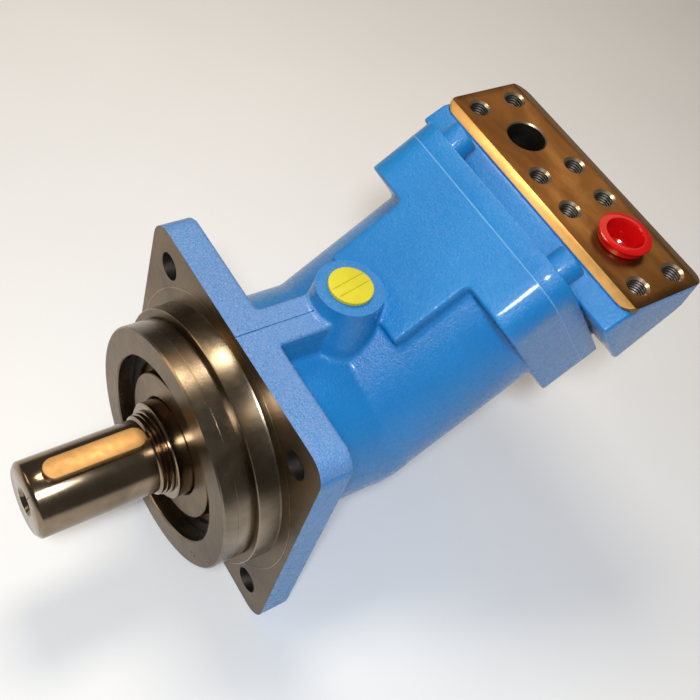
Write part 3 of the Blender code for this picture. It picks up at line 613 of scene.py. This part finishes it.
def port_plate():
    """Painted flange, hub and port block with a bare milled port face."""
    start = BARREL_END + 0.3 * MM
    front = 205 * MM
    corner = 11 * MM
    bore_radius = 13.5 * MM
    thread_minor = 6.1 * MM
    thread_major = 7 * MM
    bolt_half_x = 15.9 * MM
    bolt_half_y = 33.35 * MM
    plate = box("port_plate_casting", (-REAR_HALF, -REAR_HALF, start), (REAR_HALF, REAR_HALF, PLATE_BACK),
                BARREL, REAR_CORNER, 0.7 * MM)
    spigot = turned("spigot", [(0, PLATE_BACK - 2 * MM), (59.5 * MM, PLATE_BACK - 2 * MM),
                               (59.5 * MM, 132 * MM), (0, 132 * MM)], BARREL)
    hub = box("hub", (-31 * MM, -70 * MM, PLATE_BACK - 5 * MM), (26 * MM, 70 * MM, 175 * MM), BARREL, 4 * MM)
    back = BLOCK_BACK - 0.2 * MM
    section = [(191.6 * MM, 127 * MM), (206 * MM, 136.5 * MM), (back, 136.5 * MM), (back, 131 * MM),
               (265.5 * MM, 112.5 * MM), (233.5 * MM, 78.5 * MM)]
    block = outline_solid("port_block", section, (-BLOCK_HALF + 0.2 * MM, BLOCK_HALF - 0.2 * MM), SECTION)
    ends = box("block_ends", (150 * MM, -BLOCK_HALF, 60 * MM), (back, BLOCK_HALF, 150 * MM), UPRIGHT, corner)
    round_edges(combine(block, "INTERSECT", "EXACT", ends), 2.2 * MM, 4)
    face_section = [(front, 132 * MM), (front, 137.5 * MM), (211 * MM, PORT_FACE),
                    (BLOCK_BACK - 8.5 * MM, PORT_FACE), (BLOCK_BACK, 137.5 * MM), (BLOCK_BACK, 132 * MM)]
    slab = outline_solid("port_face_slab", face_section, (-BLOCK_HALF, BLOCK_HALF), SECTION)
    ends = box("slab_ends", (front, -BLOCK_HALF, 60 * MM), (BLOCK_BACK, BLOCK_HALF, 150 * MM), UPRIGHT,
               corner)
    round_edges(combine(slab, "INTERSECT", "EXACT", ends), 0.5 * MM, 2)
    join(plate, spigot, hub, block, slab)
    mouth = bore_radius + 0.9 * MM
    ports = turned("ports", [(0, PORT_FACE + 1 * MM), (mouth, PORT_FACE + 1 * MM), (mouth, PORT_FACE),
                             (bore_radius, PORT_FACE - 0.9 * MM), (bore_radius, 110 * MM), (0, 108 * MM)],
                   Matrix.Translation((PORT_X, PORT_Y, 0)), steps=64)
    port_b = ports.copy()
    port_b.data = ports.data.copy()
    port_b.data.transform(Matrix.Translation((0, -2 * PORT_Y, 0)))
    bpy.context.scene.collection.objects.link(port_b)
    passages = bars("passages", 11 * MM, (130 * MM, 182 * MM), [(4 * MM, -38 * MM), (4 * MM, 38 * MM)],
                    BARREL)
    places = [(PORT_X + side * bolt_half_x, port * PORT_Y + end * bolt_half_y)
              for side in (-1, 1) for port in (-1, 1) for end in (-1, 1)]
    threads = thread_cutter("port_threads", places, PORT_FACE, 26 * MM, thread_minor, thread_major, 2 * MM)
    screws = bars("screw_holes", 8.3 * MM, (start - 1 * MM, PLATE_BACK + 1 * MM), four(SCREW_PITCH), BARREL)
    cut(plate, ports, port_b, passages, threads, screws)

    painted, milled, bored, fresh, edge = range(5)
    slab_bottom = PORT_FACE - 3.7 * MM
    lip_bottom = PORT_FACE - 1.2 * MM
    bore_floor = 100 * MM

    def choose(centre, normal):
        on_slab = centre.z > slab_bottom and centre.x > front - 0.2 * MM
        beside_port = min(math.hypot(centre.x - PORT_X, centre.y - port * PORT_Y) for port in (-1, 1))
        beside_screw = min(math.hypot(centre.x - x, centre.y - y) for x, y in places)
        away_from_holes = beside_port > mouth + 2.1 * MM and beside_screw > thread_major + 1.25 * MM
        # Chamfers round the port face take the bright golden iron: painted highlight where they catch the
        # light.
        if on_slab and 0.5 < normal.z < 0.985 and away_from_holes:
            return edge
        in_bore = beside_port < bore_radius + 0.5 * MM or beside_screw < thread_major + 0.4 * MM
        if in_bore and centre.z < lip_bottom:
            return bored if centre.z > bore_floor else painted
        in_lip = beside_port < mouth + 0.1 * MM or beside_screw < thread_major + 1 * MM
        if in_lip and centre.z < PORT_FACE - SKIN:
            return fresh
        return milled if on_slab else painted

    set_materials(plate, (PAINT, PORT_IRON, BORE_STEEL, BRIGHT_IRON, CHAMFER_IRON_HIGHLIGHT), choose)
    shade(plate.data, 30)
    dress(plate, "housing", "port_plate")


def seam_bead():
    """The slender raised line of paint where the housing meets the port plate; its lighter blue is painted
    highlight, the light line along the joint.
    """
    reach = REAR_HALF + 0.22 * MM
    bead = box("paint_line_on_the_joint", (-reach, -reach, BARREL_END - 0.25 * MM),
               (reach, reach, BARREL_END + 0.5 * MM), BARREL, REAR_CORNER + 0.2 * MM, 0.18 * MM)
    bore_span = (BARREL_END - 2 * MM, BARREL_END + 2 * MM)
    cut(bead, bars("bead_bore", REAR_HALF - 2 * MM, bore_span, [(0, 0)], BARREL, ROUND))
    # The bead's lighter paint is painted highlight along the joint.
    bead.data.materials.clear()
    bead.data.materials.append(HIGHLIGHT_EDGE_PAINT)
    shade(bead.data, 40)
    dress(bead, "housing", "port_plate")


def screws():
    """Painted socket head screws with softly rounded heads."""
    head_low = PLATE_BACK + 0.3 * MM
    head_top = head_low + 13 * MM
    head_round = 1.8 * MM
    for number, (x, y) in enumerate(four(SCREW_PITCH), start=1):
        profile = [(0, head_top)] + arc(head_round, 90, 0, 6, (9.2 * MM, head_top - head_round))
        profile += [(11 * MM, head_low + 0.3 * MM), (10.7 * MM, head_low), (8 * MM, head_low),
                    (8 * MM, 117 * MM), (7 * MM, 116 * MM), (0, 116 * MM)]
        place = BARREL @ Matrix.Translation((x, y, 0))
        screw = turned(f"painted_socket_screw_{number}", profile, place, PAINT, 64)
        cut(screw, bars("hex", 8 * MM, (head_top - 8 * MM, head_top + 1 * MM), [(0, 0)], place, 6))
        shade(screw.data, 30)
        dress(screw, "housing", f"port_plate_screw_{number}")


def shaft():
    """Keyed shaft end, three scraper rings, seal land and the drive flange behind."""
    radius = 23.5 * MM
    tip = SHAFT_FRONT
    profile = [(0, 93 * MM), (58.5 * MM, 93 * MM), (58.5 * MM, 58 * MM), (50 * MM, 50 * MM),
               (38 * MM, 50 * MM), (38 * MM, 38.5 * MM), (32.5 * MM, 38.5 * MM), (32.5 * MM, -9 * MM),
               (31 * MM, -9 * MM), (31 * MM, -37.4 * MM), (30.2 * MM, -38 * MM)]
    for ring in range(3):
        top = -38.3 * MM - ring * 2.6 * MM
        crest = 26.8 * MM - ring * 0.7 * MM
        profile += [(crest - 1.3 * MM, top), (crest, top - 0.5 * MM), (crest, top - 1.7 * MM),
                    (crest - 1.3 * MM, top - 2.2 * MM)]
    profile += [(radius, -46.2 * MM), (radius, tip + 2.5 * MM), (radius - 0.4 * MM, tip + 1.8 * MM),
                (radius - 2.5 * MM, tip + 0.2 * MM), (radius - 2.9 * MM, tip), (0, tip)]
    item = turned("keyed_shaft", profile, X_AXIS, SHAFT_STEEL, 128)
    flip = Matrix.Rotation(HALF_TURN, 4, "X")
    hole = thread_cutter("centre_hole", [(0, 0)], -tip, 30 * MM, 7 * MM, 8 * MM, 2 * MM, X_AXIS @ flip)
    mouth = bars("centre_mouth", 9.6 * MM, (tip - 0.5 * MM, tip + 2.4 * MM), [(0, 0)], X_AXIS, 48, 7 * MM)
    slot = outline_solid("keyway", stadium(KEY_LOW.x - 0.25 * MM, KEY_HIGH.x + 0.25 * MM, 7.25 * MM),
                         (KEY_LOW.z - 0.3 * MM, KEY_HIGH.z + 2 * MM))
    ball_hole = ball("ball_socket", 11.9 * MM, Matrix.Translation((BEND_X, 0, 0)))
    seat_circle = 43.03 * MM
    turns = [2 * HALF_TURN * seat / 7 for seat in range(7)]
    seats = [(-seat_circle * math.cos(turn), -seat_circle * math.sin(turn)) for turn in turns]
    pockets = bars("seat_pockets", 12.9 * MM, (84 * MM, 96 * MM), seats, X_AXIS, 40)
    cut(item, hole, mouth, slot, ball_hole, pockets)
    shade(item.data, 30)

    def choose(centre, _):
        in_hole = math.hypot(centre.y, centre.z) < 8.2 * MM and tip + 2.3 * MM < centre.x < tip + 33 * MM
        return 1 if in_hole else 0

    set_materials(item, (SHAFT_STEEL, BORE_STEEL), choose)
    dress(item, "shaft", "drive_shaft")


def stadium(start, end, half_width):
    head = arc(half_width, -90, 90, 20, (end - half_width, 0))
    tail = arc(half_width, 90, 270, 20, (start + half_width, 0))
    return head + tail


def key():
    item = outline_solid("round_ended_key", stadium(KEY_LOW.x, KEY_HIGH.x, 7 * MM), (KEY_LOW.z, KEY_HIGH.z),
                         UPRIGHT, KEY_STEEL, 0.35 * MM)
    dress(item, "shaft", "shaft_key")


def seal_parts():
    """Seal cover, lip seal and snap ring inside the nose."""
    edge = 0.5 * MM
    cover = [(60.1 * MM, -9 * MM), (60.1 * MM, -12.6 * MM), (56.8 * MM, -12.6 * MM), (56.8 * MM, -16.2 * MM),
             (60.1 * MM, -16.2 * MM), (60.1 * MM, -19.5 * MM), (48.4 * MM, -19.5 * MM),
             (47.4 * MM, -20.5 * MM), (47.4 * MM, -28.4 * MM + edge), (47.4 * MM - edge, -28.4 * MM),
             (32.6 * MM, -28.4 * MM),
             (31.8 * MM, -27.6 * MM), (31.8 * MM, -24 * MM), (42 * MM, -24 * MM), (42 * MM, -9 * MM)]
    item = turned("turned_seal_cover", cover, X_AXIS, COVER_STEEL, 128)
    dress(item, "housing", "seal_cover")
    seal = [(41.7 * MM, -13 * MM), (41.7 * MM, -23.7 * MM), (33 * MM, -23.7 * MM), (31.3 * MM, -22.8 * MM),
            (31.5 * MM, -21 * MM), (38 * MM, -20 * MM), (38 * MM, -13 * MM)]
    dress(turned("lip_seal", seal, X_AXIS, RUBBER, 96), "housing", "shaft_seal")
    gap = 8
    ring = arc(63 * MM, 180 + gap, 540 - gap, 90) + arc(54 * MM, 540 - gap, 180 + gap, 90)
    item = outline_solid("bore_snap_ring", ring, (-22.4 * MM, -20 * MM), X_AXIS, BLACK_STEEL)
    eye_circle = 58.5 * MM
    eye_turn = math.radians(gap + 3.4)
    eye_places = [(-eye_circle * math.cos(eye_turn), side * eye_circle * math.sin(eye_turn))
                  for side in (-1, 1)]
    cut(item, bars("ring_eyes", 1.4 * MM, (-24 * MM, -19 * MM), eye_places, X_AXIS, 20))
    dress(item, "housing", "snap_ring")


def drain_plugs():
    """Ribbed yellow transport plug on top, steel socket plug underneath."""
    base = DRAIN_LOW.z
    top = DRAIN_HIGH.z
    rim = BOSS_TOP + 0.3 * MM
    steps = 36 * 4
    outline = []
    for step in range(steps):
        angle = 2 * math.pi * step / steps
        rib = 0.3 * MM if step % 4 < 2 else 0
        radius = 13.65 * MM + rib
        outline.append((radius * math.cos(angle), radius * math.sin(angle)))
    place = Matrix.Translation((DRAIN_X, 0, 0))
    plug = outline_solid("ribbed_drain_plug", outline, (rim, top), place, YELLOW)
    stem = turned("stem", [(0, rim + 1 * MM), (10 * MM, rim + 1 * MM), (10 * MM, rim - 4 * MM),
                           (9.6 * MM, base), (0, base)], place)
    dome = turned("dome", [(0, top + 3 * MM), (20 * MM, top + 3 * MM), (20 * MM, top - 1.1 * MM),
                           (12.9 * MM, top), (0, top)], place)
    join(plug, stem)
    tilted = place @ Matrix.Rotation(math.radians(10), 4, "Z")
    grooves = [box("groove", (-12 * MM, offset - 0.35 * MM, top - 0.5 * MM),
                   (12 * MM, offset + 0.35 * MM, top + 1 * MM), tilted) for offset in (-3.2 * MM, 3.2 * MM)]
    cut(plug, dome, *grooves)
    shade(plug.data, 30)
    dress(plug, "housing", "drain_plug_top")
    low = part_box("drain_plug_bottom")[0].z
    seat = BOSS_BOTTOM - 0.3 * MM
    steel = turned("steel_drain_plug", [(0, -68 * MM), (10 * MM, -68 * MM), (10 * MM, seat), (14 * MM, seat),
                                        (14 * MM, low + 0.8 * MM), (13.2 * MM, low), (0, low)],
                   place, SHAFT_STEEL, 64)
    cut(steel, bars("hex", 5.5 * MM, (low - 1 * MM, low + 8 * MM), [(0, 0)], place, 6))
    shade(steel.data, 30)
    dress(steel, "housing", "drain_plug_bottom")


def port_cap():
    """Red moulded cap: a cup with a rolled rim, pushed into port B."""
    seat = PORT_FACE + 0.3 * MM
    top = CAP_HIGH.z
    profile = [(0, 130.5 * MM), (10.4 * MM, 130.5 * MM), (11.4 * MM, 131.6 * MM), (12.2 * MM, top - 1.2 * MM),
               (13 * MM, top), (17 * MM, top), (17.7 * MM, top - 0.4 * MM), (18 * MM, top - 1.1 * MM),
               (17.6 * MM, top - 1.8 * MM), (16.4 * MM, top - 2.2 * MM), (16.2 * MM, seat + 0.5 * MM),
               (15.8 * MM, seat), (13.1 * MM, seat), (13 * MM, 129 * MM), (12 * MM, 128 * MM), (0, 128 * MM)]
    item = turned("moulded_port_cap", profile, Matrix.Translation((PORT_X, -PORT_Y, 0)), RED, 72)
    dress(item, "housing", "port_b_cap")


def inner_parts():
    """The pieces inside keep their CAD shape and get their own metal."""
    finishes = {"valve_plate": BRONZE, "centre_spring": BLACK_STEEL, "seal_cover_o_ring": RUBBER,
                "port_plate_o_ring": RUBBER}
    for name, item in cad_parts.items():
        material = BRONZE if name.startswith("ball_seat") else finishes.get(name, SHAFT_STEEL)
        item.data.materials.clear()
        item.data.materials.append(material)


# ---------------------------------------------------------------- stage

def area_light(name, place, target, size, power, colour):
    light = bpy.data.lights.new(name, "AREA")
    light.shape = "RECTANGLE"
    light.size = size[0]
    light.size_y = size[1]
    light.energy = power
    light.color = colour
    item = bpy.data.objects.new(name, light)
    bpy.context.scene.collection.objects.link(item)
    item.location = place
    item.rotation_euler = (Vector(target) - Vector(place)).to_track_quat("-Z", "Y").to_euler()


def stage():
    floor_mesh = bpy.data.meshes.new("floor")
    shape = bmesh.new()
    bmesh.ops.create_grid(shape, x_segments=1, y_segments=1, size=3)
    shape.to_mesh(floor_mesh)
    shape.free()
    floor = bpy.data.objects.new("floor", floor_mesh)
    bpy.context.scene.collection.objects.link(floor)
    floor.location = (0.1, 0, CAD_BOX[0][2] - 1 * MM)
    n = Nodes("pale_floor")
    base = n.ramp(n.noise(3, 3), [(0.3, (0.72, 0.76, 0.81)), (0.7, (0.76, 0.80, 0.85))])
    floor_mesh.materials.append(n.finish(base, 0.0, 0.6))

    world = bpy.data.worlds.new("studio")
    bpy.context.scene.world = world
    world.use_nodes = True
    background = world.node_tree.nodes["Background"]
    background.inputs["Color"].default_value = (1.0, 0.97, 0.93, 1)
    background.inputs["Strength"].default_value = 0.12

    centre = (0.08, 0, 0.03)
    area_light("flash", (-0.42, -0.42, 0.95), centre, (0.16, 0.16), 11.5, (1, 1, 1))
    area_light("top_panel", (0.16, 0.5, 1.15), centre, (0.45, 0.3), 7, (1.0, 0.86, 0.68))
    area_light("warm_panel", (0.8, 0.6, 0.9), centre, (0.9, 0.7), 2.2, (1.0, 0.66, 0.36))
    area_light("left_fill", (-0.9, 0.6, 0.5), centre, (0.5, 0.5), 2.5, (1.0, 0.74, 0.46))

    camera = bpy.data.cameras.new("camera")
    camera.lens = 51.28
    camera.sensor_width = 36
    item = bpy.data.objects.new("camera", camera)
    bpy.context.scene.collection.objects.link(item)
    right = Vector((0.81149, -0.52614, 0.25429))
    up = Vector((0.30181, 0.74997, 0.58860))
    back = right.cross(up)
    item.matrix_world = Matrix.Translation((-0.2276, -0.26075, 0.53464)) @ \
        Matrix((right, up, back)).transposed().to_4x4()
    bpy.context.scene.camera = item
    bpy.context.scene.view_settings.view_transform = "Standard"


stage()
inner_parts()
housing()
nose()
port_plate()
seam_bead()
screws()
shaft()
key()
seal_parts()
drain_plugs()
port_cap()
